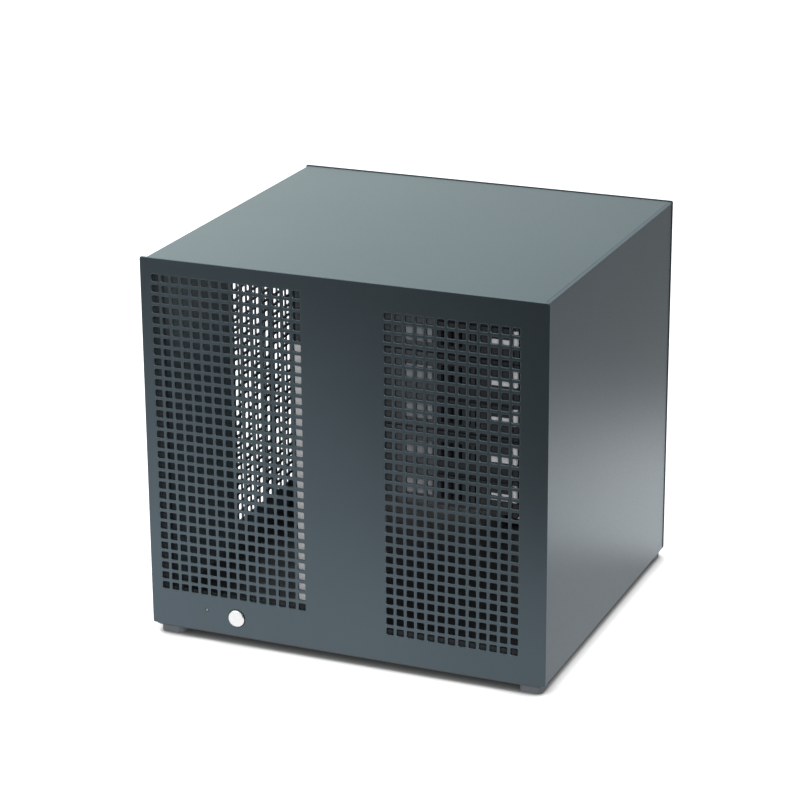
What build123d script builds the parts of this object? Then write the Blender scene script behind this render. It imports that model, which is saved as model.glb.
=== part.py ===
"""NAS server chassis: a near-cubic sheet-metal case for five stacked hot-swap drives and an upright board.

The frame: +X is to the right seen from the front, -Y is the front, +Z is up. The origin is the middle of the
object's box in X and Y, on the surface that the feet stand on. All sizes are millimetres.
"""

from build123d import *
import math
import os

# Sheet metal
sheet_t = 1.2  # every folded sheet of the chassis
seam_gap = 0.3  # between sheets that lie beside each other
flange_w = 12.0  # folded edges of the frame, the pan and the walls

# Front plate: the flat perforated sheet that pulls off forwards
panel_overhang = 2.5  # past each side of the cover
panel_t = 2.0
panel_corner_r = 1.5
panel_drop = 2.0  # the plate's lower edge above the underside of the floor pan
panel_gap = 0.5  # between the plate's back and the front edge of the cover

# Punched square holes; each modelled hole stands for a square group of real ones
hole_pitch = 8.0
hole_side = 5.5
hole_group_count = 2  # real holes along one side of a group
left_columns = 15
right_columns = 13
grille_head = 14.0  # least height from the left field's highest row to the plate's upper edge
left_grille_margin = 12.0  # from the plate's left edge to the first column's centre
right_grille_margin = 24.0  # from the plate's right edge to the last column's centre
right_grille_base = 24.0  # from the plate's lower edge to the lowest row's centre
left_grille_lift = 8.0  # the left field sits higher, to clear the power button

# Overall body
body_depth = 286.8  # from the plate's face to the rear panel's outer face
foot_h = 6.0
foot_side = 17.0
foot_corner = 2.5  # cut corners of a foot
foot_inset_x = 9.0  # foot centre from the side of the floor pan
foot_inset_y = 10.0  # foot centre from the front and rear edges of the floor pan

# Cover: one sheet folded over the top and both sides
board_side_w = 173.3  # from the cover's left side to the middle wall
cover_drop = 0.8  # the cover's top under the plate's top edge
cover_bend_r = 2.4
cover_lip_w = 12.0
cover_lip_gap = 7.5  # from the power supply up to the rear lips
vent_group_count = 4
vent_start = 136.0  # from the cover's front edge to the first column's centre
vent_end = 30.0  # least length from the last column's centre to the cover's rear edge

# Rear panel
rear_overhang = 0.5  # past the cover at the top and both sides
screw_across = 8.0  # hexagon heads of the cover's screws
screw_head_h = 2.6
screw_above_lip = 16.0  # lower pair of cover screws above the lips' lower ends
screw_under_top = 54.2  # upper pair under the cover's top

# Front frame behind the plate
frame_setback = 10.0  # from the plate's back to the frame's face
stile_left_w = 6.0
stile_middle_w = 62.0
stile_past_wall = 1.3  # the middle stile's right edge past the middle wall
window_right_gap = 0.7  # from the drive cage's inner face to the window's edge
left_window_foot = 26.0  # above the plate's lower edge
left_window_head = 10.5  # under the plate's upper edge
right_window_foot = 20.0
window_cage_gap = 0.9  # above the underside of the cage's top

# Magnets that hold the plate against posts on the frame
magnet_w = 20.0
magnet_h = 8.0
magnet_t = 2.0
magnet_gap = 0.2  # between a magnet and its post
magnet_inset_x = 17.0  # from the plate's side edges
magnet_inset_low = 10.0  # from the plate's lower edge
magnet_inset_high = 7.0  # from the plate's upper edge

# Power button and status light
button_r = 6.5
button_proud = 1.2
button_length = 14.0
button_travel = 1.5
button_edge = 0.6  # bevelled rim of the cap
button_play = 0.1
button_from_left = 70.0
button_from_base = 14.0
button_hole_gap = 0.4
collar_wall = 2.0
collar_start = 1.0  # from the plate's back to the collar
collar_sides = 8
collar_nut_across = 22.0
collar_nut_h = 3.0
led_r = 1.0
led_hole_gap = 0.3
led_from_left = 45.5
led_from_base = 17.0
led_sink = 0.3  # under the plate's face

# Harness cover: the bare metal channel behind the plate's solid band
harness_inset = 1.0  # from the middle stile's edges
harness_foot = 34.0  # above the plate's lower edge
harness_head = 53.0  # under the plate's upper edge
harness_gap = 2.5  # from the plate's back

# Drive bays
bay_count = 5
bay_air = 1.2  # free height over a drive
shelf_height = 124.8  # from the floor to the shelf under the lowest tray
bay_end_gap = 0.6  # free height over the highest tray
head_room = 16.7  # from the cage's top to the inside of the cover
cage_side_gap = 5.6  # from a tray's side to the cage's wall
cage_room = 16.5  # from the cage to the cover's right side
cage_past = 1.1  # the cage's rear edge past the backplane
drive_l = 147.0
drive_w = 101.6
drive_h = 26.1
drive_play = 0.4

# Trays
bezel_side = 1.8  # past each side of the tray
bezel_gap = 1.0  # between one bezel and the next
bezel_t = 3.0
tray_wall = 1.2
tray_rail_h = 12.0
tray_slot_w = 24.0
tray_slot_end = 28.5  # from both ends of the tray's floor
runner_w = 2.6
runner_t = 2.0
runner_z = 5.0  # the runner's underside above the tray's floor
guide_gap = 0.3
guide_t = 1.2
guide_leg = 8.0

# Tray release button, lever and its strap
release_w = 20.0
release_h = 11.0
release_drop = 1.0  # below the bezel's middle
release_gap = 4.0  # from the button to the lever's free end
release_proud = 2.2
release_travel = 1.5
release_play = 0.3
release_edge = 0.7  # bevel round the button's face
lever_t = 2.4
lever_gap = 0.6  # between the bezel and the lever
lever_reach = 59.0  # from the hinge to the lever's free end
lever_edge = 3.6  # free height above and below the lever
lever_slots = 5
lever_slot_w = 3.2
lever_slot_pitch = 6.4
hinge_inset = 3.0  # from the bezel's right end
barrel_r = 1.9
barrel_drop = 2.75  # the barrel's lower end under the bezel's middle
barrel_h = 12.5
ear_play = 0.4
ear_cut = 1.2  # cut front corner of an ear, clear of the swinging lever
strap_l = 19.0
strap_h = 5.0
strap_t = 0.8

# Backplane
backplane_gap = 8.0  # from the end of a drive to the board
backplane_t = 1.6
connector_w = 44.0
connector_h = 7.0
connector_l = 6.5
connector_lift = 1.0  # above the tray's floor
backplane_vents = 2
backplane_vent_w = 26.0
backplane_vent_h = 9.0
backplane_vent_z = 20.6  # vent's middle above the tray's underside

# Fans
fan_side = 120.0
fan_t = 25.0
fan_corner = 3.0
fan_ring_wall = 2.0
fan_blades = 7
fan_blade_t = 1.6
fan_blade_angle = 38.0
fan_tip_gap = 1.2
fan_chord = 26.0
fan_hub_r = 20.0
fan_hub_sides = 28
fan_root_r = 16.0  # the blades start inside the hub
fan_base_side = 30.0
fan_base_t = 3.0
fan_strut_w = 5.0
fan_shaft_r = 1.5
fan_shaft_play = 0.06
fan_side_gap = 0.5  # from the middle wall
fan_lift = 72.0  # above the shelf
board_vent_gap = 15.9  # beside the vent, to the cover and to the board's opening
board_vent_head = 72.2  # under the cover's top
fan_slot_w = 9.0
fan_slot_pitch = 15.0

# Board interface
board_gap = 6.5  # standoff height
board_rear_gap = 12.0  # from the rear panel to the first row of standoffs
standoff_across = 5.0
itx_spacing_y = 157.48
itx_spacing_z = 154.94
matx_extra_y = 50.8
matx_extra_z = 45.72
board_head = 21.0  # from the highest posts to the inside of the cover
io_w = 44.45
io_h = 158.75
io_inset = 5.0  # from the middle wall to the opening
io_head = 12.25  # above the highest posts
slot_count = 4
slot_pitch = 20.32
slot_drop = 18.5  # from the board's opening to the middle of the highest slot
slot_h = 12.9
slot_l = 104.0
slot_inset = 11.0  # from the middle wall to the card slots
slot_cover_h = 18.4
slot_cover_edge = 6.0  # past both ends of its slot
slot_cover_t = 1.0
slot_cover_tab = 11.0

# Power supply interface
psu_w = 125.0
psu_h = 63.5
psu_side_gap = 4.3  # from the cover's right side
psu_pad = 1.8  # above the floor
psu_bolt_x = 113.0
psu_bolt_z = 51.5
psu_bolt_r = 1.8
psu_window_w = 100.0
psu_window_h = 42.0

# Places worked out from the sizes above
total_depth = button_proud + body_depth + screw_head_h
y_face = button_proud - total_depth / 2
y_panel_back = y_face + panel_t
y_cover = y_panel_back + panel_gap
y_frame = y_panel_back + frame_setback
y_frame_back = y_frame + sheet_t
y_rear = y_face + body_depth
y_rear_in = y_rear - sheet_t
y_cover_end = y_rear_in - seam_gap
y_bezel = y_frame_back - bezel_t
y_tray_end = y_bezel + bezel_t + drive_l
y_backplane = y_tray_end + seam_gap + backplane_gap
y_cage_end = y_backplane + backplane_t + cage_past

z_pan = foot_h
z_floor = z_pan + sheet_t
z_panel = z_pan + panel_drop
bay_pitch = drive_h + tray_wall + bay_air
bay_low = z_floor + shelf_height
z_cage_top = bay_low + bay_count * bay_pitch + bay_end_gap
z_cover_in = z_cage_top + sheet_t + head_room
z_cover_top = z_cover_in + sheet_t
z_panel_top = z_cover_top + cover_drop
z_frame_top = z_cover_in - seam_gap
grille_base = z_panel + right_grille_base
left_grille_base = grille_base + left_grille_lift
grille_rows = int((z_panel_top - grille_head - left_grille_base) / hole_pitch) + 1
vent_columns = int((y_cover_end - y_cover - vent_start - vent_end) / hole_pitch) + 1

tray_w = drive_w + drive_play + 2 * tray_wall
bezel_w = tray_w + 2 * bezel_side
drive_side_w = sheet_t + 2 * cage_side_gap + tray_w + cage_room
cover_w = board_side_w + drive_side_w + 2 * sheet_t
x_cover = cover_w / 2
x_panel = x_cover + panel_overhang
x_cover_in = x_cover - sheet_t
x_pan = x_cover_in - seam_gap
x_frame = x_pan - sheet_t - seam_gap
middle_wall_x = board_side_w - x_cover_in
x_wall_face = middle_wall_x + sheet_t
stile_middle_right = x_wall_face + stile_past_wall
stile_middle_left = stile_middle_right - stile_middle_w
tray_left = x_wall_face + cage_side_gap
tray_right = tray_left + tray_w
x_tray = (tray_left + tray_right) / 2
x_cage_in = tray_right + cage_side_gap
bezel_left = x_tray - bezel_w / 2
bezel_right = x_tray + bezel_w / 2
bezel_h = bay_pitch - bezel_gap
x_hinge = bezel_right - hinge_inset
x_lever = x_hinge - lever_reach

button_x = button_from_left - x_panel
button_z = z_panel + button_from_base
led_x = led_from_left - x_panel
led_z = z_panel + led_from_base
magnet_x = x_panel - magnet_inset_x
magnet_low = z_panel + magnet_inset_low
magnet_high = z_panel_top - magnet_inset_high
magnet_places = [(sx * magnet_x, z) for sx in (-1, 1) for z in (magnet_low, magnet_high)]
fan_x = x_wall_face + fan_side_gap + fan_side / 2
fan_z = bay_low + fan_lift
board_top_z = z_cover_in - board_head
io_low = board_top_z + io_head - io_h
slot_first_z = io_low - slot_drop
slot_cover_l = slot_l + 2 * slot_cover_edge
io_x = middle_wall_x - io_inset
board_vent_room = x_cover_in + io_x - io_w
board_vent_x = board_vent_room / 2 - x_cover_in
board_vent_side = board_vent_room - 2 * board_vent_gap
board_vent_z = z_cover_top - board_vent_head
slot_x = middle_wall_x - slot_inset
psu_x = x_cover_in - psu_side_gap - psu_w / 2
psu_low = z_floor + psu_pad
cover_lip_low = psu_low + psu_h + cover_lip_gap


def block(x, y, z):
    """A rectangular solid from three (low, high) pairs."""
    size = [high - low for low, high in (x, y, z)]
    middle = [(high + low) / 2 for low, high in (x, y, z)]
    return Pos(*middle) * Box(*size)


def rect_wire(plane, u, v):
    """A rectangle on a plane from its (low, high) pairs."""
    (u0, u1), (v0, v1) = u, v
    corners = [(u0, v0), (u1, v0), (u1, v1), (u0, v1)]
    return Wire.make_polygon([plane.from_local_coords((a, b, 0)) for a, b in corners])


def circle_wire(plane, u, v, radius):
    """A circle on a plane."""
    centre = plane.from_local_coords((u, v, 0))
    return Wire.make_circle(radius, Plane(centre, plane.x_dir, plane.z_dir))


def rounded_wire(plane, u, v, radius):
    """A rectangle with rounded corners on a plane."""
    width, height = u[1] - u[0], v[1] - v[0]
    outline = RectangleRounded(width, height, radius)
    middle = Pos((u[0] + u[1]) / 2, (v[0] + v[1]) / 2)
    return (plane * middle * outline).face().outer_wire()


def cut_plate(outer, inner, direction):
    """A flat sheet with its openings, from an outline and the openings' outlines."""
    return Solid.extrude(Face(outer, inner), Vector(*direction))


def upright_plane(y):
    """A plane facing the front, with its own axes along X and Z."""
    return Plane((0, y, 0), x_dir=(1, 0, 0), z_dir=(0, -1, 0))


def wall_plane(x):
    """A plane facing right, with its own axes along Y and Z."""
    return Plane((x, 0, 0), x_dir=(0, 1, 0), z_dir=(1, 0, 0))


def rod(x, y, z, radius):
    """A round bar along Y between two y places."""
    return Solid.make_cylinder(radius, y[1] - y[0], Plane((x, y[0], z), z_dir=(0, 1, 0)))


def post(x, y, z, radius):
    """A round bar along Z between two z places."""
    return Solid.make_cylinder(radius, z[1] - z[0], Plane((x, y, z[0]), z_dir=(0, 0, 1)))


def merge(first, *rest):
    """One solid from pieces that touch or overlap."""
    whole = first
    for piece in rest:
        whole = whole + piece
    return whole.clean()


def hole_field(plane, columns, rows, first, group):
    """Outlines of a field of square holes, with groups of real holes merged into larger ones."""
    field_w, field_h = columns * hole_pitch, rows * hole_pitch
    across, up = math.ceil(columns / group), math.ceil(rows / group)
    step_u, step_v = field_w / across, field_h / up
    side_u = hole_side * step_u / hole_pitch
    side_v = hole_side * step_v / hole_pitch
    low_u, low_v = first[0] - hole_pitch / 2, first[1] - hole_pitch / 2
    wires = []
    for i in range(across):
        for j in range(up):
            u, v = low_u + (i + 0.5) * step_u, low_v + (j + 0.5) * step_v
            wires.append(
                rect_wire(plane, (u - side_u / 2, u + side_u / 2), (v - side_v / 2, v + side_v / 2))
            )
    return wires


def front_panel():
    """The flat perforated plate, with openings for the button and the status light."""
    plane = upright_plane(y_panel_back)
    outer = rounded_wire(plane, (-x_panel, x_panel), (z_panel, z_panel_top), panel_corner_r)
    right_first = x_panel - right_grille_margin - (right_columns - 1) * hole_pitch
    left = (left_grille_margin - x_panel, left_grille_base)
    holes = hole_field(plane, left_columns, grille_rows, left, hole_group_count)
    holes += hole_field(plane, right_columns, grille_rows, (right_first, grille_base), hole_group_count)
    holes.append(circle_wire(plane, button_x, button_z, button_r + button_hole_gap))
    holes.append(circle_wire(plane, led_x, led_z, led_r + led_hole_gap))
    return cut_plate(outer, holes, (0, -panel_t, 0))


def panel_magnets():
    """Four bar magnets on the back of the plate."""
    return magnet_blocks(y_panel_back, y_panel_back + magnet_t)


def magnet_posts():
    """Four steel posts on the frame that the magnets hold to."""
    return magnet_blocks(y_panel_back + magnet_t + magnet_gap, y_frame)


def magnet_blocks(start, end):
    """Four blocks near the plate's corners between two y places."""
    half_w, half_h = magnet_w / 2, magnet_h / 2
    blocks = []
    for x, z in magnet_places:
        blocks.append(block((x - half_w, x + half_w), (start, end), (z - half_h, z + half_h)))
    return Compound(blocks)


def floor_pan():
    """The floor with low folded sides that the cover closes over."""
    floor = block((-x_pan, x_pan), (y_cover, y_rear_in), (z_pan, z_floor))
    sides = [
        block((min(a, b), max(a, b)), (y_frame, y_rear_in), (z_floor, z_floor + flange_w))
        for a, b in ((-x_pan, sheet_t - x_pan), (x_pan, x_pan - sheet_t))
    ]
    return merge(floor, *sides)


def feet():
    """Four square rubber feet with cut corners."""
    middle_y = (y_cover + y_rear_in) / 2
    reach_x = x_pan - foot_inset_x
    reach_y = (y_rear_in - y_cover) / 2 - foot_inset_y
    outline = Rectangle(foot_side, foot_side)
    outline = chamfer(outline.vertices(), foot_corner)
    shape = extrude(outline, foot_h)
    places = [(sx * reach_x, middle_y + sy * reach_y, 0) for sx in (-1, 1) for sy in (-1, 1)]
    return Compound([(Pos(*place) * shape).solid() for place in places])


def front_frame():
    """The frame behind the plate: two windows, folded side and top edges."""
    plane = upright_plane(y_frame_back)
    outer = rect_wire(plane, (-x_frame, x_frame), (z_floor, z_frame_top))
    left_tall = (z_panel + left_window_foot, z_panel_top - left_window_head)
    left = rect_wire(plane, (stile_left_w - x_frame, stile_middle_left), left_tall)
    right = rect_wire(
        plane,
        (stile_middle_right, x_cage_in + window_right_gap),
        (z_panel + right_window_foot, z_cage_top + window_cage_gap),
    )
    button = circle_wire(plane, button_x, button_z, button_r + button_play + collar_wall)
    face = cut_plate(outer, [left, right, button], (0, -sheet_t, 0))
    depth = (y_frame_back, y_frame + flange_w)
    edge = x_frame - sheet_t
    low_side = z_floor + flange_w + seam_gap
    sides = [
        block((-x_frame, -edge), depth, (low_side, z_frame_top)),
        block((edge, x_frame), depth, (low_side, z_frame_top)),
        block((-x_frame, x_frame), depth, (z_frame_top - sheet_t, z_frame_top)),
    ]
    return merge(face, *sides)


def button_collar():
    """The round housing that guides the power button, with its nut behind the frame."""
    inner = button_r + button_play
    start = y_panel_back + collar_start
    bore_end = y_face - button_proud + button_length + button_travel + seam_gap
    end = bore_end + collar_wall
    body_plane = Plane((button_x, start, button_z), x_dir=(1, 0, 0), z_dir=(0, 1, 0))
    body = extrude(body_plane * RegularPolygon(inner + collar_wall, collar_sides), end - start)
    nut_plane = Plane((button_x, y_frame_back, button_z), x_dir=(1, 0, 0), z_dir=(0, 1, 0))
    nut = extrude(nut_plane * RegularPolygon(collar_nut_across / math.sqrt(3), 6), collar_nut_h)
    return merge(body.solid(), nut.solid()) - rod(button_x, (start, bore_end), button_z, inner)


def power_button():
    """The round cap, with a bevelled rim."""
    start = y_face - button_proud
    cap = rod(button_x, (start, start + button_length), button_z, button_r)
    rim = cap.edges().sort_by(Axis.Y)[0]
    return cap.chamfer(button_edge, None, [rim])


def status_led():
    """The light pipe of the status light, standing on the frame."""
    return rod(led_x, (y_face + led_sink, y_frame), led_z, led_r)


def harness_cover():
    """The channel over the front wiring, standing on the frame's middle stile."""
    front = y_panel_back + harness_gap
    left, right = stile_middle_left + harness_inset, stile_middle_right - harness_inset
    tall = (z_panel + harness_foot, z_panel_top - harness_head)
    outer = block((left, right), (front, y_frame), tall)
    hollow = block((left + sheet_t, right - sheet_t), (front + sheet_t, y_frame), tall)
    return outer - hollow


def outer_cover():
    """Top and sides in one folded sheet, with the vent in its left side and lips at the rear."""
    low = z_pan + seam_gap
    plane = upright_plane(y_cover_end)
    length = y_cover_end - y_cover
    tall = (low - z_cover_top, z_cover_top)
    outer = Face(rounded_wire(plane, (-x_cover, x_cover), tall, cover_bend_r))
    inside = (low - z_cover_in, z_cover_in)
    hollow = rounded_wire(plane, (-x_cover_in, x_cover_in), inside, cover_bend_r - sheet_t)
    ring = Solid.extrude(outer, Vector(0, -length, 0))
    ring = ring - Solid.extrude(Face(hollow), Vector(0, -length, 0))
    below = block((-cover_w, cover_w), (y_cover, y_cover_end), (low - 2 * z_cover_top, low))
    shell = ring - below
    lips = []
    for side in (-1, 1):
        ends = sorted((side * x_cover_in, side * (x_cover - cover_lip_w)))
        lips.append(block(ends, (y_cover_end - sheet_t, y_cover_end), (cover_lip_low, z_cover_in)))
    whole = merge(shell, *lips)
    side_plane = wall_plane(-x_cover - sheet_t)
    first = (y_cover + vent_start, left_grille_base)
    holes = hole_field(side_plane, vent_columns, grille_rows, first, vent_group_count)
    tools = [Solid.extrude(Face(hole), Vector(3 * sheet_t, 0, 0)) for hole in holes]
    return whole - Compound(tools)


def fan_slots(plane, x, z, side):
    """Upright slots that fill a circle in front of a fan, split by a bar at mid height."""
    reach = side / 2 - fan_ring_wall - fan_slot_w / 2
    steps = int(reach // fan_slot_pitch)
    wires = []
    for i in range(-steps, steps + 1):
        u = i * fan_slot_pitch
        half = math.sqrt(max(reach**2 - u**2, 0))
        inner = fan_slot_w / 2
        across = (x + u - fan_slot_w / 2, x + u + fan_slot_w / 2)
        wires.append(rect_wire(plane, across, (z + inner, z + half)))
        wires.append(rect_wire(plane, across, (z - half, z - inner)))
    return wires


def rear_panel():
    """The rear sheet: board opening, card slots, power supply opening and fan slots."""
    plane = upright_plane(y_rear)
    edge = x_cover + rear_overhang
    outer = rounded_wire(plane, (-edge, edge), (z_pan, z_cover_top + rear_overhang), panel_corner_r)
    holes = [rect_wire(plane, (io_x - io_w, io_x), (io_low, io_low + io_h))]
    for i in range(slot_count):
        z = slot_first_z - i * slot_pitch
        holes.append(rect_wire(plane, (slot_x - slot_l, slot_x), (z - slot_h / 2, z + slot_h / 2)))
    psu_z = psu_low + psu_h / 2
    holes.append(
        rect_wire(
            plane,
            (psu_x - psu_window_w / 2, psu_x + psu_window_w / 2),
            (psu_z - psu_window_h / 2, psu_z + psu_window_h / 2),
        )
    )
    for sx in (-1, 1):
        for sz in (-1, 1):
            u, v = psu_x + sx * psu_bolt_x / 2, psu_z + sz * psu_bolt_z / 2
            holes.append(circle_wire(plane, u, v, psu_bolt_r))
    holes += fan_slots(plane, fan_x, fan_z, fan_side)
    holes += fan_slots(plane, board_vent_x, board_vent_z, board_vent_side)
    return cut_plate(outer, holes, (0, -sheet_t, 0))


def cover_screws():
    """The hexagon heads of the four screws that hold the cover's rear lips to the rear panel."""
    x = x_cover - cover_lip_w / 2
    heads = []
    levels = (cover_lip_low + screw_above_lip, z_cover_top - screw_under_top)
    for place in [(sx * x, z) for sx in (-1, 1) for z in levels]:
        plane = Plane((place[0], y_rear, place[1]), x_dir=(1, 0, 0), z_dir=(0, 1, 0))
        head = extrude(plane * RegularPolygon(screw_across / math.sqrt(3), 6), screw_head_h)
        heads.append(head.solid())
    return Compound(heads)


def slot_covers():
    """Blank plates over the card slots, each with a folded end."""
    covers = []
    right = slot_x + (slot_cover_l - slot_l) / 2
    left = right - slot_cover_l
    for i in range(slot_count):
        z = slot_first_z - i * slot_pitch
        tall = (z - slot_cover_h / 2, z + slot_cover_h / 2)
        plate = block((left, right), (y_rear_in - slot_cover_t, y_rear_in), tall)
        tab = block((left, left + slot_cover_t), (y_rear_in - slot_cover_tab, y_rear_in), tall)
        covers.append(merge(plate, tab))
    return Compound(covers)


def middle_wall():
    """The upright wall between the board side and the drive side, folded at its foot and front."""
    top = z_frame_top - sheet_t - seam_gap
    ends = (y_frame_back, y_rear_in)
    wall = block((middle_wall_x, x_wall_face), ends, (z_floor, top))
    foot = block((middle_wall_x - flange_w, middle_wall_x), ends, (z_floor, z_floor + sheet_t))
    front = block(
        (middle_wall_x - flange_w, middle_wall_x), (y_frame_back, y_frame_back + sheet_t), (z_floor, top)
    )
    return merge(wall, foot, front)


def standoff_places():
    """Where the board is held: the small square pattern and the rows of the larger board."""
    rear = y_rear_in - board_rear_gap
    ys = [rear, rear - itx_spacing_y, rear - itx_spacing_y - matx_extra_y]
    zs = [board_top_z, board_top_z - itx_spacing_z, board_top_z - itx_spacing_z - matx_extra_z]
    return [(y, z) for y in ys for z in zs]


def board_standoffs():
    """Hexagonal posts on the middle wall's board side."""
    standoffs = []
    for y, z in standoff_places():
        plane = Plane((middle_wall_x, y, z), z_dir=(-1, 0, 0))
        body = extrude(plane * RegularPolygon(standoff_across / math.sqrt(3), 6), board_gap)
        standoffs.append(body.solid())
    return Compound(standoffs)


def cage_wall():
    """The drive cage's right wall, standing on the floor."""
    x0, x1 = x_cage_in, x_cage_in + sheet_t
    ends = (y_frame_back, y_cage_end)
    wall = block((x0, x1), ends, (z_floor, z_cage_top + sheet_t))
    foot = block((x1, x1 + flange_w), ends, (z_floor, z_floor + sheet_t))
    return merge(wall, foot)


def cage_plate(z):
    """A level sheet across the cage, folded along both walls."""
    x0, x1 = x_wall_face, x_cage_in
    ends = (y_frame_back, y_cage_end)
    sheet = block((x0, x1), ends, (z, z + sheet_t))
    fold = (z + sheet_t - flange_w, z)
    left = block((x0, x0 + sheet_t), ends, fold)
    right = block((x1 - sheet_t, x1), ends, fold)
    return merge(sheet, left, right)


def bay_floor(bay):
    """Height of a bay's tray, with bay 0 the lowest."""
    return bay_low + bay * bay_pitch + (bay_pitch - bezel_h) / 2


def tray_guides():
    """Ten folded angles on which the trays' runners slide."""
    ends = (y_frame_back + sheet_t, y_tray_end)
    guides = []
    for bay in range(bay_count):
        ledge_top = bay_floor(bay) + runner_z - guide_gap
        level = (ledge_top - guide_t, ledge_top)
        leg = (ledge_top - guide_t, ledge_top - guide_t + guide_leg)
        for side, wall_x in ((-1, x_wall_face), (1, x_cage_in)):
            tray_x = x_tray + side * (tray_w / 2 + guide_gap)
            ledge = block(sorted((wall_x, tray_x)), ends, level)
            back = block(sorted((wall_x, wall_x - side * guide_t)), ends, leg)
            guides.append(merge(ledge, back))
    return Compound(guides)


def drive_tray(bay):
    """One tray: bezel with its ears and button opening, floor with slots, rails and runners."""
    low = bay_floor(bay)
    top = low + bezel_h
    mid = (low + top) / 2
    plane = upright_plane(y_bezel + bezel_t)
    outer = rect_wire(plane, (bezel_left, bezel_right), (low, top))
    opening = rect_wire(plane, *release_window(mid, release_play))
    slots = []
    for i in range(lever_slots):
        x = lever_slot_x(i)
        slots.append(rect_wire(plane, (x, x + lever_slot_w), (low + lever_edge, top - lever_edge)))
    bezel = cut_plate(outer, [opening, *slots], (0, -bezel_t, 0))
    ears = []
    y_ears = (hinge_y() - barrel_r, y_bezel)
    barrel_low, barrel_high = barrel_ends(mid)
    for tall in ((low, barrel_low - ear_play), (barrel_high + ear_play, top)):
        ear = block((x_hinge - barrel_r, bezel_right), y_ears, tall)
        corner = ear.edges().filter_by(Axis.Z).group_by(Axis.Y)[0].sort_by(Axis.X)[0]
        ears.append(ear.chamfer(ear_cut, None, [corner]))
    body_y = (y_bezel + bezel_t, y_tray_end)
    floor = tray_floor(low, body_y)
    rails = []
    for side in (-1, 1):
        inner = x_tray + side * (tray_w / 2 - tray_wall)
        outer_x = x_tray + side * tray_w / 2
        rails.append(block(sorted((inner, outer_x)), body_y, (low, low + tray_rail_h)))
        runner = (low + runner_z, low + runner_z + runner_t)
        rails.append(block(sorted((outer_x, outer_x + side * runner_w)), body_y, runner))
    return merge(bezel, *ears, floor, *rails)


def tray_floor(low, body_y):
    """The tray's floor with two long slots."""
    plane = Plane((0, 0, low), x_dir=(1, 0, 0), z_dir=(0, 0, 1))
    outer = rect_wire(plane, (tray_left, tray_right), body_y)
    slots = []
    for side in (-1, 1):
        x = x_tray + side * tray_w / 4
        slots.append(
            rect_wire(
                plane,
                (x - tray_slot_w / 2, x + tray_slot_w / 2),
                (body_y[0] + tray_slot_end, body_y[1] - tray_slot_end),
            )
        )
    return cut_plate(outer, slots, (0, 0, tray_wall))


def release_window(mid, play):
    """The release button's outline on the bezel, grown by a play."""
    right = x_lever - release_gap
    across = (right - release_w - play, right + play)
    low = mid - release_drop - release_h / 2
    return across, (low - play, low + release_h + play)


def barrel_ends(mid):
    """Lower and upper ends of the hinge's barrel, from the bezel's middle."""
    return mid - barrel_drop, mid - barrel_drop + barrel_h


def hinge_y():
    """Where the lever's hinge lies, in front of the bezel."""
    return y_bezel - lever_gap - barrel_r


def lever_slot_x(i):
    """Left edge of one of the vent slots of the lever and bezel."""
    return x_lever + lever_slot_pitch / 2 + i * lever_slot_pitch


def tray_release(bay):
    """The sprung release button in the bezel, with a grip ridge."""
    mid = bay_floor(bay) + bezel_h / 2
    across, tall = release_window(mid, 0)
    body = block(across, (y_bezel - release_proud, y_bezel + bezel_t - release_travel), tall)
    return body.chamfer(release_edge, None, body.edges().group_by(Axis.Y)[0])


def tray_lever(bay):
    """The slotted grip of the lever, which closes against the bezel."""
    low, top = bay_floor(bay) + lever_edge, bay_floor(bay) + bezel_h - lever_edge
    plane = upright_plane(y_bezel - lever_gap)
    right = x_hinge - barrel_r - ear_play
    outer = rect_wire(plane, (x_lever, right), (low, top))
    slots = []
    for i in range(lever_slots):
        x = lever_slot_x(i)
        inner = (low + lever_slot_w, top - lever_slot_w)
        slots.append(rect_wire(plane, (x, x + lever_slot_w), inner))
    return cut_plate(outer, slots, (0, -lever_t, 0))


def tray_strap(bay):
    """The bright strap that joins the lever to its hinge: a barrel, a plate and a flat arm."""
    mid = bay_floor(bay) + bezel_h / 2
    low, top = barrel_ends(mid)
    barrel = post(x_hinge, hinge_y(), (low, top), barrel_r)
    front = y_bezel - lever_gap - lever_t - strap_t
    arm = block(
        (x_hinge - strap_l, x_hinge), (front, front + strap_t), (mid - strap_h / 2, mid + strap_h / 2)
    )
    plate = block((x_hinge - barrel_r - ear_play, x_hinge), (front, hinge_y()), (low, top))
    return merge(barrel, plate, arm)


def backplane():
    """The board behind the trays, with vents between its connectors."""
    plane = upright_plane(y_backplane + backplane_t)
    low, high = bay_low + sheet_t, z_cage_top - sheet_t
    edge = sheet_t + seam_gap
    outer = rect_wire(plane, (x_wall_face + edge, x_cage_in - edge), (low, high))
    vents = []
    span = tray_w / backplane_vents
    for bay in range(bay_count):
        z = bay_floor(bay) + backplane_vent_z
        for i in range(backplane_vents):
            x = tray_left + (i + 0.5) * span
            vents.append(
                rect_wire(
                    plane,
                    (x - backplane_vent_w / 2, x + backplane_vent_w / 2),
                    (z - backplane_vent_h / 2, z + backplane_vent_h / 2),
                )
            )
    return cut_plate(outer, vents, (0, -backplane_t, 0))


def drive_connectors():
    """One plug block for each drive on the backplane."""
    plugs = []
    for bay in range(bay_count):
        z = bay_floor(bay) + tray_wall + connector_lift + connector_h / 2
        plugs.append(
            block(
                (x_tray - connector_w / 2, x_tray + connector_w / 2),
                (y_backplane - connector_l, y_backplane),
                (z - connector_h / 2, z + connector_h / 2),
            )
        )
    return Compound(plugs)


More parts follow.
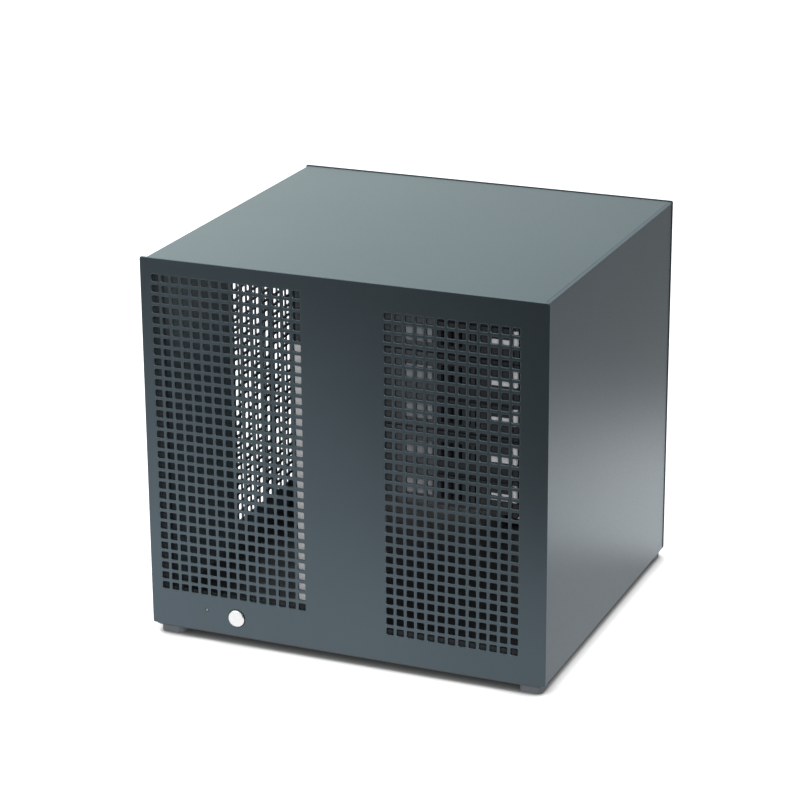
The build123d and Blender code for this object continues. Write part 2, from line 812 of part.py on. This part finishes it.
def fan_frame():
    """The square fan housing with its round duct, and the motor base on its struts."""
    ends = (y_rear_in - fan_t, y_rear_in)
    plane = upright_plane(y_rear_in)
    outline = plane * Pos(fan_x, fan_z) * chamfer(Rectangle(fan_side, fan_side).vertices(), fan_corner)
    duct = circle_wire(plane, fan_x, fan_z, fan_side / 2 - fan_ring_wall)
    body = cut_plate(outline.face().outer_wire(), [duct], (0, -fan_t, 0))
    middle = Pos(fan_x, y_rear_in - fan_base_t / 2, fan_z)
    base = middle * Box(fan_base_side, fan_base_t, fan_base_side)
    reach = fan_side / 2 - fan_ring_wall / 2
    struts = [
        middle * Rot(0, angle, 0) * Box(2 * reach, fan_base_t, fan_strut_w) for angle in (0, 90)
    ]
    shaft = rod(fan_x, (ends[0] + fan_tip_gap, y_rear_in), fan_z, fan_shaft_r)
    return merge(body, base, *struts, shaft)


def fan_rotor():
    """The hub and its slanted blades, running on the housing's shaft."""
    tip = fan_side / 2 - fan_ring_wall - fan_tip_gap
    length = fan_t - fan_base_t - 2 * fan_tip_gap
    foot = Plane((0, 0, -length / 2), z_dir=(0, 0, 1))
    hub = extrude(foot * RegularPolygon(fan_hub_r, fan_hub_sides), length).solid()
    middle = Pos((fan_root_r + tip) / 2, 0, 0) * Rot(fan_blade_angle, 0, 0)
    blade = middle * Box(tip - fan_root_r, fan_chord, fan_blade_t)
    blades = [Rot(0, 0, i * 360 / fan_blades) * blade for i in range(fan_blades)]
    bore = Solid.make_cylinder(fan_shaft_r + fan_shaft_play, length, foot)
    rotor = merge(hub, *blades) - bore
    level = y_rear_in - fan_t + fan_tip_gap + length / 2
    return Pos(fan_x, level, fan_z) * Rot(90, 0, 0) * rotor


def build():
    """Every node by name."""
    nodes = {
        "front_panel": front_panel(),
        "panel_magnets": panel_magnets(),
        "magnet_posts": magnet_posts(),
        "floor_pan": floor_pan(),
        "feet": feet(),
        "front_frame": front_frame(),
        "button_collar": button_collar(),
        "power_button": power_button(),
        "status_led": status_led(),
        "harness_cover": harness_cover(),
        "outer_cover": outer_cover(),
        "rear_panel": rear_panel(),
        "cover_screws": cover_screws(),
        "slot_covers": slot_covers(),
        "middle_wall": middle_wall(),
        "board_standoffs": board_standoffs(),
        "cage_wall": cage_wall(),
        "cage_top": cage_plate(z_cage_top),
        "cage_shelf": cage_plate(bay_low - sheet_t),
        "tray_guides": tray_guides(),
        "backplane": backplane(),
        "drive_connectors": drive_connectors(),
        "fan_frame": fan_frame(),
        "fan_rotor": fan_rotor(),
    }
    for bay in range(bay_count):
        name = bay_count - bay
        nodes[f"drive_tray_{name}"] = drive_tray(bay)
        nodes[f"tray_release_{name}"] = tray_release(bay)
        nodes[f"tray_lever_{name}"] = tray_lever(bay)
        nodes[f"tray_strap_{name}"] = tray_strap(bay)
    return nodes


def main():
    os.makedirs("parts", exist_ok=True)
    for name, shape in build().items():
        export_step(shape, f"parts/{name}.step")


main()
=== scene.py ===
"""Looks of the NAS server chassis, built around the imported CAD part. Lengths are in metres."""

import math

import bmesh
import bpy
from mathutils import Matrix, Vector

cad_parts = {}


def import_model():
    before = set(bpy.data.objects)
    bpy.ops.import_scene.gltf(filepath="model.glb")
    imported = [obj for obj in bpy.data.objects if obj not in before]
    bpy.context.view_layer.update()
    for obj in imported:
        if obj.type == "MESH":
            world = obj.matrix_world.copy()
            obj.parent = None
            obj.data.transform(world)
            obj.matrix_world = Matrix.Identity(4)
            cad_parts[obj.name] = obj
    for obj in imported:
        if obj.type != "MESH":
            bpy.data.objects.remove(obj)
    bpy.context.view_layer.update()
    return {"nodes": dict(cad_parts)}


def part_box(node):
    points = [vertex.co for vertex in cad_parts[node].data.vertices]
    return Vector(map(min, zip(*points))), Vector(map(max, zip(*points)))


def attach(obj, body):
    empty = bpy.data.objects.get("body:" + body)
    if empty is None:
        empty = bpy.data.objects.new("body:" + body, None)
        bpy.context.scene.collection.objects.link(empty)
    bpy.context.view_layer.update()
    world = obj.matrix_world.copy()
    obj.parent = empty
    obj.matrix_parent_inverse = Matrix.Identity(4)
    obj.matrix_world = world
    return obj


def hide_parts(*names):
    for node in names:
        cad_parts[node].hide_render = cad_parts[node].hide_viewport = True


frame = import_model()
nodes = frame["nodes"]

MM = 0.001

# Holes of the front plate and the side vent
PITCH = 8.0 * MM  # between neighbours, both ways
HOLE = 5.5 * MM
VENT_HOLE = 5.6 * MM
HOLE_CORNER = 0.6 * MM  # cut off each corner of a hole
ROWS = 31  # in both fields and in the vent
LEFT_COLUMNS = 15
RIGHT_COLUMNS = 13
VENT_COLUMNS = 15
LEFT_MARGIN = 12.0 * MM  # from the plate's left edge to the first column's centre
RIGHT_MARGIN = 24.0 * MM  # from the plate's right edge to the last column's centre
LEFT_BASE = 32.0 * MM  # from the plate's lower edge to the lowest row's centre, and in the vent
RIGHT_BASE = 24.0 * MM
VENT_START = 136.0 * MM  # from the cover's front edge to the first column's centre

# Front plate
PLATE_CORNER = 1.5 * MM
PLATE_EDGE = 0.45 * MM  # rounded off the plate's and the holes' edges
BUTTON_GAP = 0.4 * MM
LED_GAP = 0.3 * MM

# Outer cover
SHEET = 1.2 * MM
VENT_SHEET = 1.0 * MM
BEND = 2.4 * MM  # outer radius
LIP_WIDTH = 12.0 * MM
LIP_LOW = 80.0 * MM  # lower ends of the rear lips
SKIN = 0.2 * MM  # the paler inside coat, which is painted light, starts this far in from the cover's outer faces
SMOOTH_BELOW = math.radians(32)  # edges that turn less look round

# Trays
TRAY_COUNT = 5
BEZEL_DEPTH = 4.0 * MM  # from behind the levers to just behind the bezels
BEZEL_ROOM = 10.0 * MM  # past the trays' ends, all round

# Stage
FLOOR_SIDE = 12.0
SENSOR_WIDTH = 36.0  # in millimetres, as the lens
LENS = 122.966
CAMERA_PLACE = (0.74805, -1.81682, 0.84706)
CAMERA_RIGHT = (0.922923, 0.384935, -0.006225)
CAMERA_AHEAD = (-0.365189, 0.870230, -0.330663)

cover_low, cover_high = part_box("outer_cover")
plate_low, plate_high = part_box("front_panel")
button_low, button_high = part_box("power_button")
led_low, led_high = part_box("status_led")
lowest_tray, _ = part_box(f"drive_tray_{TRAY_COUNT}")
_, highest_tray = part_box("drive_tray_1")
_, release_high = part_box("tray_release_1")
lever_low, lever_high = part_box("tray_lever_1")

# Colour sockets of a mix node, which share their names with others
MIX_A = 6
MIX_B = 7
MIX_RESULT = 2


# Material helpers
def new_material(name):
    """A node material, with its node tree, shader and output."""
    material = bpy.data.materials.new(name)
    material.use_nodes = True
    tree = material.node_tree
    tree.nodes.clear()
    out = tree.nodes.new("ShaderNodeOutputMaterial")
    shader = tree.nodes.new("ShaderNodeBsdfPrincipled")
    tree.links.new(shader.outputs["BSDF"], out.inputs["Surface"])
    return material, tree, shader, out


def shader_of(material):
    """The shader of a material made here."""
    return next(n for n in material.node_tree.nodes if n.type == "BSDF_PRINCIPLED")


def node(tree, kind, inputs=(), **settings):
    """Adds a node, sets its properties, and fills its sockets with values or links."""
    made = tree.nodes.new(kind)
    for key, value in settings.items():
        setattr(made, key, value)
    for key, value in dict(inputs).items():
        if isinstance(value, bpy.types.NodeSocket):
            tree.links.new(value, made.inputs[key])
        else:
            made.inputs[key].default_value = value
    return made


def maths(tree, operation, *values):
    """The result of one operation on numbers and sockets."""
    made = node(tree, "ShaderNodeMath", dict(enumerate(values)), operation=operation)
    return made.outputs[0]


def times(tree, *values):
    """The product of numbers and sockets."""
    total = values[0]
    for value in values[1:]:
        total = maths(tree, "MULTIPLY", total, value)
    return total


def place_axes(tree):
    """Sockets with X, Y and Z in the object's own coordinates."""
    place = node(tree, "ShaderNodeTexCoord").outputs["Object"]
    return node(tree, "ShaderNodeSeparateXYZ", {"Vector": place}).outputs


def noise(tree, scale, detail=3.0, rough=0.55, stretch=(1, 1, 1)):
    """Noise in the object's own coordinates."""
    place = node(tree, "ShaderNodeTexCoord").outputs["Object"]
    mapping = node(tree, "ShaderNodeMapping", {"Vector": place, "Scale": stretch})
    made = node(
        tree,
        "ShaderNodeTexNoise",
        {
            "Vector": mapping.outputs["Vector"],
            "Scale": scale,
            "Detail": detail,
            "Roughness": rough,
        },
    )
    return made.outputs["Fac"]


def ramp(tree, value, low, high, start=0.3, end=0.7):
    """Two colours blended by a value."""
    made = node(tree, "ShaderNodeValToRGB", {"Fac": value})
    first, last = made.color_ramp.elements
    first.position = start
    first.color = (*low, 1)
    last.position = end
    last.color = (*high, 1)
    return made.outputs["Color"]


def level(tree, value, start, end, low, high, smooth=True):
    """A number that goes from low to high while the value goes from start to end."""
    made = node(
        tree,
        "ShaderNodeMapRange",
        {"Value": value, "From Min": start, "From Max": end, "To Min": low, "To Max": high},
        interpolation_type="SMOOTHSTEP" if smooth else "LINEAR",
    )
    return made.outputs["Result"]


def spread(tree, value, middle, reach):
    """Noise mapped to numbers up to a reach below and above a middle."""
    return level(tree, value, 0.3, 0.7, middle - reach, middle + reach, smooth=False)


def bump(tree, shader, value, depth, strength):
    """Fine relief from a value."""
    made = node(
        tree, "ShaderNodeBump", {"Height": value, "Distance": depth, "Strength": strength}
    )
    tree.links.new(made.outputs["Normal"], shader.inputs["Normal"])


def shaded(colour, factor):
    """A colour made darker or lighter."""
    return tuple(min(c * factor, 1) for c in colour)


def inside_of(tree, low, high):
    """One inside a box in the object's own coordinates, else zero."""
    axes = place_axes(tree)
    tests = []
    for axis, least, most in zip("XYZ", low, high):
        tests.append(maths(tree, "GREATER_THAN", axes[axis], least))
        tests.append(maths(tree, "LESS_THAN", axes[axis], most))
    return times(tree, *tests)


def add_zone(material, low, high, colour):
    """Gives the part of a material inside a box another colour."""
    tree = material.node_tree
    target = shader_of(material).inputs["Base Color"]
    plain = target.links[0].from_socket
    inside = inside_of(tree, low, high)
    mix = node(
        tree,
        "ShaderNodeMix",
        {"Factor": inside, MIX_A: plain, MIX_B: (*colour, 1)},
        data_type="RGBA",
    )
    tree.links.new(mix.outputs[MIX_RESULT], target)


# Kinds of material
def painted(name, colour, shift, rough, metal_share=0.0):
    """Powder coat: fine orange peel, slight clouding in colour and gloss."""
    material, tree, shader, _ = new_material(name)
    cloud = noise(tree, scale=9.0, detail=4.0)
    tone = ramp(tree, cloud, shaded(colour, 1 - shift), shaded(colour, 1 + shift))
    tree.links.new(tone, shader.inputs["Base Color"])
    peel = noise(tree, scale=1400.0, detail=2.0)
    tree.links.new(spread(tree, peel, rough, 0.05), shader.inputs["Roughness"])
    bump(tree, shader, peel, depth=0.04 * MM, strength=0.25)
    shader.inputs["Metallic"].default_value = metal_share
    return material


def lined_with_painted_light(name, low, high, painted_light_lining, **look):
    """Powder coat outside a box, and inside it a more matt coat whose paler colour is painted
    light, for light falling into the case.
    """
    material = painted(name, **look)
    tree = material.node_tree
    inside = inside_of(tree, low, high)
    share = level(tree, inside, 0.0, 1.0, look["metal_share"], 0.0, smooth=False)
    tree.links.new(share, shader_of(material).inputs["Metallic"])
    add_zone(material, low, high, painted_light_lining)
    return material


def metal(name, colour, rough, stretch=(1, 1, 1), grain=400.0, share=1.0):
    """Plain or brushed metal, with streaks along the direction that is stretched."""
    material, tree, shader, _ = new_material(name)
    streak = noise(tree, grain, detail=3.0, rough=0.6, stretch=stretch)
    tree.links.new(ramp(tree, streak, shaded(colour, 0.88), colour), shader.inputs["Base Color"])
    tree.links.new(spread(tree, streak, rough, 0.06), shader.inputs["Roughness"])
    bump(tree, shader, streak, depth=0.02 * MM, strength=0.2)
    shader.inputs["Metallic"].default_value = share
    return material


def moulded(name, colour, rough, grain=2200.0):
    """Plastic or rubber with a fine spark-eroded grain."""
    material, tree, shader, _ = new_material(name)
    fine = noise(tree, grain, detail=2.0)
    cloud = noise(tree, scale=30.0, detail=3.0)
    tone = ramp(tree, cloud, shaded(colour, 0.9), shaded(colour, 1.08))
    tree.links.new(tone, shader.inputs["Base Color"])
    tree.links.new(spread(tree, fine, rough, 0.06), shader.inputs["Roughness"])
    bump(tree, shader, fine, depth=0.03 * MM, strength=0.35)
    return material


# Materials
BODY = {"colour": (0.092, 0.121, 0.139), "shift": 0.03, "rough": 0.36, "metal_share": 0.90}
paint = painted("body_paint", **BODY)
# Inside the cover the paler lining colour is the body colour made lighter: painted light for the
# case's inside.
cover_paint = lined_with_painted_light(
    "cover_paint",
    (cover_low.x + SKIN, cover_low.y - SHEET, cover_low.z - SHEET),
    (cover_high.x - SKIN, cover_high.y + SHEET, cover_high.z - SKIN),
    painted_light_lining=(0.16, 0.215, 0.245),
    **BODY,
)
inner = painted("inner_paint", (0.078, 0.089, 0.099), shift=0.05, rough=0.50)
frame_paint = painted("frame_paint", (0.070, 0.080, 0.088), shift=0.05, rough=0.50)
steel = metal("bright_steel", (0.94, 0.95, 0.96), 0.42, stretch=(1, 1, 60), grain=220.0, share=0.25)
nickel = metal("nickel", (0.70, 0.70, 0.69), rough=0.25, grain=300.0)
zinc = metal("dark_zinc", (0.30, 0.30, 0.31), rough=0.38)
brass = metal("brass", (0.72, 0.55, 0.26), rough=0.30)
cap_metal = metal("button_cap", (0.92, 0.92, 0.93), rough=0.30, grain=500.0)
black = moulded("black_moulding", (0.016, 0.017, 0.018), rough=0.50)
tray_dark = moulded("tray_moulding", (0.030, 0.034, 0.038), rough=0.45)
bezel_end = (release_high.x + lever_low.x) / 2
add_zone(
    tray_dark,
    (lowest_tray.x - BEZEL_ROOM, lever_high.y, lowest_tray.z - BEZEL_ROOM),
    (bezel_end, lever_high.y + BEZEL_DEPTH, highest_tray.z + BEZEL_ROOM),
    (0.085, 0.094, 0.101),
)
tray_grey = moulded("release_moulding", (0.27, 0.285, 0.30), rough=0.42)
foot_grey = moulded("foot_rubber", (0.150, 0.165, 0.180), rough=0.70)
laminate = moulded("board_laminate", (0.010, 0.045, 0.026), rough=0.35, grain=900.0)
lens = moulded("light_pipe", (0.26, 0.28, 0.28), rough=0.20)


# Outlines
def square(u, v, side):
    """A square hole with small cut corners, as points round (u, v)."""
    half = side / 2
    short = half - HOLE_CORNER
    points = []
    for sign_u, sign_v in ((1, 1), (-1, 1), (-1, -1), (1, -1)):
        pair = [(sign_u * half, sign_v * short), (sign_u * short, sign_v * half)]
        if sign_u * sign_v < 0:
            pair.reverse()
        points += pair
    return [(u + a, v + b) for a, b in points]


def hole_field(u, v, columns, side):
    """Square holes in columns and rows, from the lower left one at (u, v)."""
    holes = []
    for i in range(columns):
        for j in range(ROWS):
            holes.append(square(u + i * PITCH, v + j * PITCH, side))
    return holes


def round_hole(low, high, gap, count):
    """A circle as points, a gap larger than the box of the round piece that fills it."""
    u = (low.x + high.x) / 2
    v = (low.z + high.z) / 2
    radius = (high.x - low.x) / 2 + gap
    steps = [2 * math.pi * i / count for i in range(count)]
    return [(u + radius * math.cos(a), v + radius * math.sin(a)) for a in steps]


def quarter(u, v, radius, start, steps=6):
    """A quarter circle as points, from a start angle in degrees."""
    points = []
    for i in range(steps + 1):
        angle = math.radians(start + 90 * i / steps)
        points.append((u + radius * math.cos(angle), v + radius * math.sin(angle)))
    return points


def rounded(u0, u1, v0, v1, radius):
    """A rectangle with rounded corners as points."""
    points = quarter(u1 - radius, v1 - radius, radius, 0)
    points += quarter(u0 + radius, v1 - radius, radius, 90)
    points += quarter(u0 + radius, v0 + radius, radius, 180)
    points += quarter(u1 - radius, v0 + radius, radius, 270)
    return points


# Meshes
def mesh_object(name, verts, faces):
    """A mesh object from points and faces."""
    mesh = bpy.data.meshes.new(name)
    mesh.from_pydata(verts, [], faces)
    mesh.update()
    made = bpy.data.objects.new(name, mesh)
    bpy.context.scene.collection.objects.link(made)
    return made


def sheet(name, loops, thickness, edge, matrix):
    """A flat sheet with openings, its edges rounded off.

    The first loop is the outline. Local z spans the thickness from 0.
    """
    curve = bpy.data.curves.new(name, "CURVE")
    curve.dimensions = "2D"
    curve.fill_mode = "BOTH"
    curve.extrude = thickness / 2 - edge
    curve.bevel_depth = edge
    curve.bevel_resolution = 1
    curve.offset = -edge
    for loop in loops:
        spline = curve.splines.new("POLY")
        spline.points.add(len(loop) - 1)
        for point, (u, v) in zip(spline.points, loop):
            point.co = (u, v, 0, 1)
        spline.use_cyclic_u = True
    shape = bpy.data.objects.new(name + "_curve", curve)
    bpy.context.scene.collection.objects.link(shape)
    graph = bpy.context.evaluated_depsgraph_get()
    mesh = bpy.data.meshes.new_from_object(shape.evaluated_get(graph))
    bpy.data.objects.remove(shape)
    mesh.transform(matrix @ Matrix.Translation((0, 0, thickness / 2)))
    made = bpy.data.objects.new(name, mesh)
    bpy.context.scene.collection.objects.link(made)
    return made


def facing_front(y):
    """Local x along +X, local y along +Z, local z towards the front from y."""
    return Matrix(((1, 0, 0, 0), (0, 0, -1, y), (0, 1, 0, 0), (0, 0, 0, 1)))


def facing_side(x):
    """Local x along +Y, local y along +Z, local z towards the right from x."""
    return Matrix(((0, 0, 1, x), (1, 0, 0, 0), (0, 1, 0, 0), (0, 0, 0, 1)))


def join(first, *rest):
    """Joins mesh objects into the first."""
    for obj in bpy.context.selected_objects:
        obj.select_set(False)
    for obj in (first, *rest):
        obj.select_set(True)
    bpy.context.view_layer.objects.active = first
    bpy.ops.object.join()
    return first


def finish_piece(obj, material, body, replaced):
    """Gives a piece its material and body, and hides the CAD node that it stands for."""
    obj.data.materials.clear()
    obj.data.materials.append(material)
    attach(obj, body)
    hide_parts(replaced)


# Front plate
def front_plate():
    """The plate with its real hole pattern."""
    loops = [rounded(plate_low.x, plate_high.x, plate_low.z, plate_high.z, PLATE_CORNER)]
    left_u = plate_low.x + LEFT_MARGIN
    loops += hole_field(left_u, plate_low.z + LEFT_BASE, LEFT_COLUMNS, HOLE)
    right_u = plate_high.x - RIGHT_MARGIN - (RIGHT_COLUMNS - 1) * PITCH
    loops += hole_field(right_u, plate_low.z + RIGHT_BASE, RIGHT_COLUMNS, HOLE)
    loops.append(round_hole(button_low, button_high, BUTTON_GAP, count=64))
    loops.append(round_hole(led_low, led_high, LED_GAP, count=24))
    thickness = plate_high.y - plate_low.y
    made = sheet("front_plate_sheet", loops, thickness, PLATE_EDGE, facing_front(plate_high.y))
    finish_piece(made, paint, "front_plate", "front_panel")


# Outer cover
def cover_section(radius):
    """One side of the cover's sheet: up the right side, round both bends, as points."""
    right_x = cover_high.x - BEND
    left_x = cover_low.x + BEND
    bend_z = cover_high.z - BEND
    points = [(right_x + radius, cover_low.z)]
    points += quarter(right_x, bend_z, radius, 0)
    points += quarter(left_x, bend_z, radius, 90)
    return points


def cover_shell():
    """The right side, the top and both bends as one closed sheet."""
    section = cover_section(BEND) + cover_section(BEND - SHEET)
    count = len(section) // 2
    back = len(section)
    verts = [(x, y, z) for y in (cover_low.y, cover_high.y) for x, z in section]
    faces = []
    for i in range(count - 1):
        k = count + i
        faces.append((i, i + 1, back + i + 1, back + i))
        faces.append((k + 1, k, back + k, back + k + 1))
        faces.append((i + 1, i, k, k + 1))
        faces.append((back + i, back + i + 1, back + k + 1, back + k))
    for i in (0, count - 1):
        faces.append((i, count + i, back + count + i, back + i))
    shell = mesh_object("outer_cover_sheet", verts, faces)
    work = bmesh.new()
    work.from_mesh(shell.data)
    bmesh.ops.recalc_face_normals(work, faces=work.faces)
    work.to_mesh(shell.data)
    work.free()
    return shell


def cover_side():
    """The left side below its bend, with the vent."""
    top = cover_high.z - BEND
    outline = [
        (cover_low.y, cover_low.z),
        (cover_high.y, cover_low.z),
        (cover_high.y, top),
        (cover_low.y, top),
    ]
    first_u = cover_low.y + VENT_START
    first_v = plate_low.z + LEFT_BASE
    loops = [outline] + hole_field(first_u, first_v, VENT_COLUMNS, VENT_HOLE)
    return sheet("cover_left", loops, VENT_SHEET, 0.0, facing_side(cover_low.x))


def rear_lip(sign):
    """The strip folded in at the rear, on one side."""
    spans_x = sorted((sign * (cover_high.x - SHEET), sign * (cover_high.x - LIP_WIDTH)))
    spans_y = (cover_high.y - SHEET, cover_high.y)
    spans_z = (LIP_LOW, cover_high.z - SHEET)
    corners = [(x, y, z) for x in spans_x for y in spans_y for z in spans_z]
    quads = [(0, 1, 3, 2), (4, 6, 7, 5), (0, 4, 5, 1), (2, 3, 7, 6), (0, 2, 6, 4), (1, 5, 7, 3)]
    return mesh_object("lip", corners, quads)


def outer_cover():
    """Top and sides with rounded bends, the side vent and the rear lips."""
    cover = join(cover_shell(), cover_side(), rear_lip(-1), rear_lip(1))
    for polygon in cover.data.polygons:
        polygon.use_smooth = True
    cover.data.set_sharp_from_angle(angle=SMOOTH_BELOW)
    finish_piece(cover, cover_paint, "chassis", "outer_cover")


# Materials of the CAD nodes
LOOKS = {
    frame_paint: ["front_frame"],
    inner: ["floor_pan", "middle_wall", "cage_wall", "cage_top", "cage_shelf"],
    paint: ["rear_panel", "slot_covers"],
    steel: ["harness_cover", "tray_guides", "magnet_posts"],
    nickel: ["panel_magnets"],
    foot_grey: ["feet"],
    black: ["button_collar", "drive_connectors", "fan_frame", "fan_rotor"],
    cap_metal: ["power_button"],
    lens: ["status_led"],
    zinc: ["cover_screws"],
    brass: ["board_standoffs"],
    laminate: ["backplane"],
}
TRAY_LOOKS = {
    tray_dark: ["drive_tray", "tray_lever"],
    tray_grey: ["tray_release"],
    steel: ["tray_strap"],
}


def dress(name, material):
    """Gives a CAD node its material."""
    nodes[name].data.materials.clear()
    nodes[name].data.materials.append(material)


def dress_nodes():
    """Gives each CAD node its material."""
    for material, names in LOOKS.items():
        for name in names:
            dress(name, material)
    for material, kinds in TRAY_LOOKS.items():
        for kind in kinds:
            for bay in range(1, TRAY_COUNT + 1):
                dress(f"{kind}_{bay}", material)


# Stage
def floor_mirror(tree):
    """Painted reflections: how bright the floor looks in reflections, with soft steps from place to
    place.
    """
    axes = place_axes(tree)
    x = axes["X"]
    y = axes["Y"]

    # In front, painted reflections for the plate
    front = level(tree, y, start=-1.05, end=-0.24, low=0.15, high=1.80)
    left = level(tree, x, start=-0.34, end=-0.06, low=1.28, high=1.0)
    lean = maths(tree, "MULTIPLY_ADD", y, -0.4417, x)
    right_dim = level(tree, y, start=-0.55, end=-0.28, low=0.05, high=0.80)
    right = level(tree, lean, start=0.04, end=0.22, low=1.0, high=right_dim)
    ahead = level(tree, y, start=-0.14, end=-0.08, low=1.0, high=0.0)
    right = node(tree, "ShaderNodeMix", {"Factor": ahead, "A": 1.0, "B": right})

    # On the right, painted reflections for the side
    side_near = level(tree, y, start=-0.16, end=-0.08, low=1.0, high=0.82)
    side_middle = level(tree, y, start=0.10, end=0.18, low=0.6, high=1.18)
    side_far = level(tree, y, start=0.30, end=0.62, low=1.0, high=0.40)
    side_wide = level(tree, x, start=0.27, end=0.42, low=1.0, high=0.6)

    plate_steps = (front, left, right.outputs["Result"])
    return times(tree, *plate_steps, side_near, side_middle, side_far, side_wide)


def floor():
    """A pale floor: white to the camera outside the object's shadow, with a painted shadow close
    under the object and painted reflections for glossy rays.
    """
    half = FLOOR_SIDE / 2
    corners = [(-half, -half, 0), (half, -half, 0), (half, half, 0), (-half, half, 0)]
    made = mesh_object("floor", corners, [(0, 1, 2, 3)])
    material, tree, shader, out = new_material("floor_white")
    grain = noise(tree, scale=3.0)
    tone = ramp(tree, grain, (0.79, 0.79, 0.79), (0.81, 0.81, 0.81))
    tree.links.new(tone, shader.inputs["Base Color"])
    shader.inputs["Roughness"].default_value = 0.9
    shader.inputs["Specular IOR Level"].default_value = 0.1
    rays = node(tree, "ShaderNodeLightPath").outputs
    hollow = node(tree, "ShaderNodeAmbientOcclusion", {"Distance": 22 * MM}, samples=16)

    # White away from the object, to the camera and through clear pieces, fading by ambient
    # occlusion near it into a painted soft shadow
    openness = level(tree, hollow.outputs["AO"], start=0.35, end=0.88, low=0.0, high=1.0)
    straight = maths(tree, "MAXIMUM", rays["Is Camera Ray"], rays["Is Transmission Ray"])
    seen = times(tree, straight, openness)
    glossy = times(tree, rays["Is Glossy Ray"], floor_mirror(tree))
    total = maths(tree, "ADD", seen, glossy)
    glow = node(tree, "ShaderNodeEmission", {"Color": (1, 1, 1, 1), "Strength": total})

    # Painted shadow: darker close under the object, by ambient occlusion
    under = level(tree, hollow.outputs["AO"], start=0.12, end=0.50, low=0.75, high=0.0)
    unlit = maths(tree, "MAXIMUM", rays["Is Glossy Ray"], under)
    off = node(tree, "ShaderNodeEmission", {"Strength": 0.0})
    dark = node(tree, "ShaderNodeMixShader", {0: unlit, 1: shader.outputs[0], 2: off.outputs[0]})
    both = node(tree, "ShaderNodeAddShader", {0: dark.outputs[0], 1: glow.outputs[0]})
    tree.links.new(both.outputs[0], out.inputs["Surface"])
    made.data.materials.append(material)


def world():
    """White to the camera, brighter and darker ways in reflections, and a plain soft light."""
    made = bpy.data.worlds.new("studio")
    bpy.context.scene.world = made
    made.use_nodes = True
    tree = made.node_tree
    tree.nodes.clear()
    out = node(tree, "ShaderNodeOutputWorld")
    rays = node(tree, "ShaderNodeLightPath").outputs
    ways = node(tree, "ShaderNodeTexCoord").outputs["Generated"]
    axes = node(tree, "ShaderNodeSeparateXYZ", {"Vector": ways}).outputs
    across = level(tree, axes["X"], start=-0.75, end=0.05, low=1.85, high=0.62, smooth=False)
    behind = level(tree, axes["Y"], start=-0.35, end=0.45, low=0.08, high=1.0)
    above = level(tree, axes["Z"], start=0.30, end=0.75, low=0.0, high=1.0)
    mirrored = times(tree, across, maths(tree, "MAXIMUM", behind, above))
    plain = node(tree, "ShaderNodeBackground", {"Color": (1, 1, 1, 1), "Strength": 0.35})
    gloss = node(tree, "ShaderNodeBackground", {"Color": (0.90, 1, 0.98, 1), "Strength": mirrored})
    white = node(tree, "ShaderNodeBackground", {"Color": (1, 1, 1, 1), "Strength": 1.0})
    light = node(
        tree,
        "ShaderNodeMixShader",
        {0: rays["Is Glossy Ray"], 1: plain.outputs[0], 2: gloss.outputs[0]},
    )
    straight = maths(tree, "MAXIMUM", rays["Is Camera Ray"], rays["Is Transmission Ray"])
    mix = node(
        tree, "ShaderNodeMixShader", {0: straight, 1: light.outputs[0], 2: white.outputs[0]}
    )
    tree.links.new(mix.outputs[0], out.inputs["Surface"])


def lamp(name, place, aim, side, power):
    """A soft square area lamp."""
    data = bpy.data.lights.new(name, "AREA")
    data.shape = "RECTANGLE"
    data.size = side
    data.size_y = side
    data.energy = power
    made = bpy.data.objects.new(name, data)
    made.location = place
    made.rotation_euler = (Vector(aim) - Vector(place)).to_track_quat("-Z", "Y").to_euler()
    bpy.context.scene.collection.objects.link(made)


def camera():
    """The photo's viewpoint, solved from the plate's corners and hole rows."""
    data = bpy.data.cameras.new("camera")
    made = bpy.data.objects.new("camera", data)
    bpy.context.scene.collection.objects.link(made)
    data.sensor_width = SENSOR_WIDTH
    data.lens = LENS
    data.clip_start = 0.05
    data.clip_end = 50.0
    right = Vector(CAMERA_RIGHT)
    ahead = Vector(CAMERA_AHEAD).normalized()
    right = (right - right.dot(ahead) * ahead).normalized()
    up = right.cross(ahead)
    turn = Matrix((right, up, -ahead)).transposed().to_4x4()
    made.matrix_world = Matrix.Translation(CAMERA_PLACE) @ turn
    bpy.context.scene.camera = made


front_plate()
outer_cover()
dress_nodes()
floor()
world()
lamp("overhead", place=(-0.3, -0.2, 1.8), aim=(0, 0, 0.1), side=1.8, power=14.0)
lamp("left_fill", place=(-1.6, -1.2, 0.7), aim=(0, 0, 0.1), side=1.2, power=5.0)
lamp("front_fill", place=(0.95, -2.2, 1.05), aim=(0, 0, 0.15), side=0.7, power=20.0)
camera()
bpy.context.scene.view_settings.view_transform = "Standard"
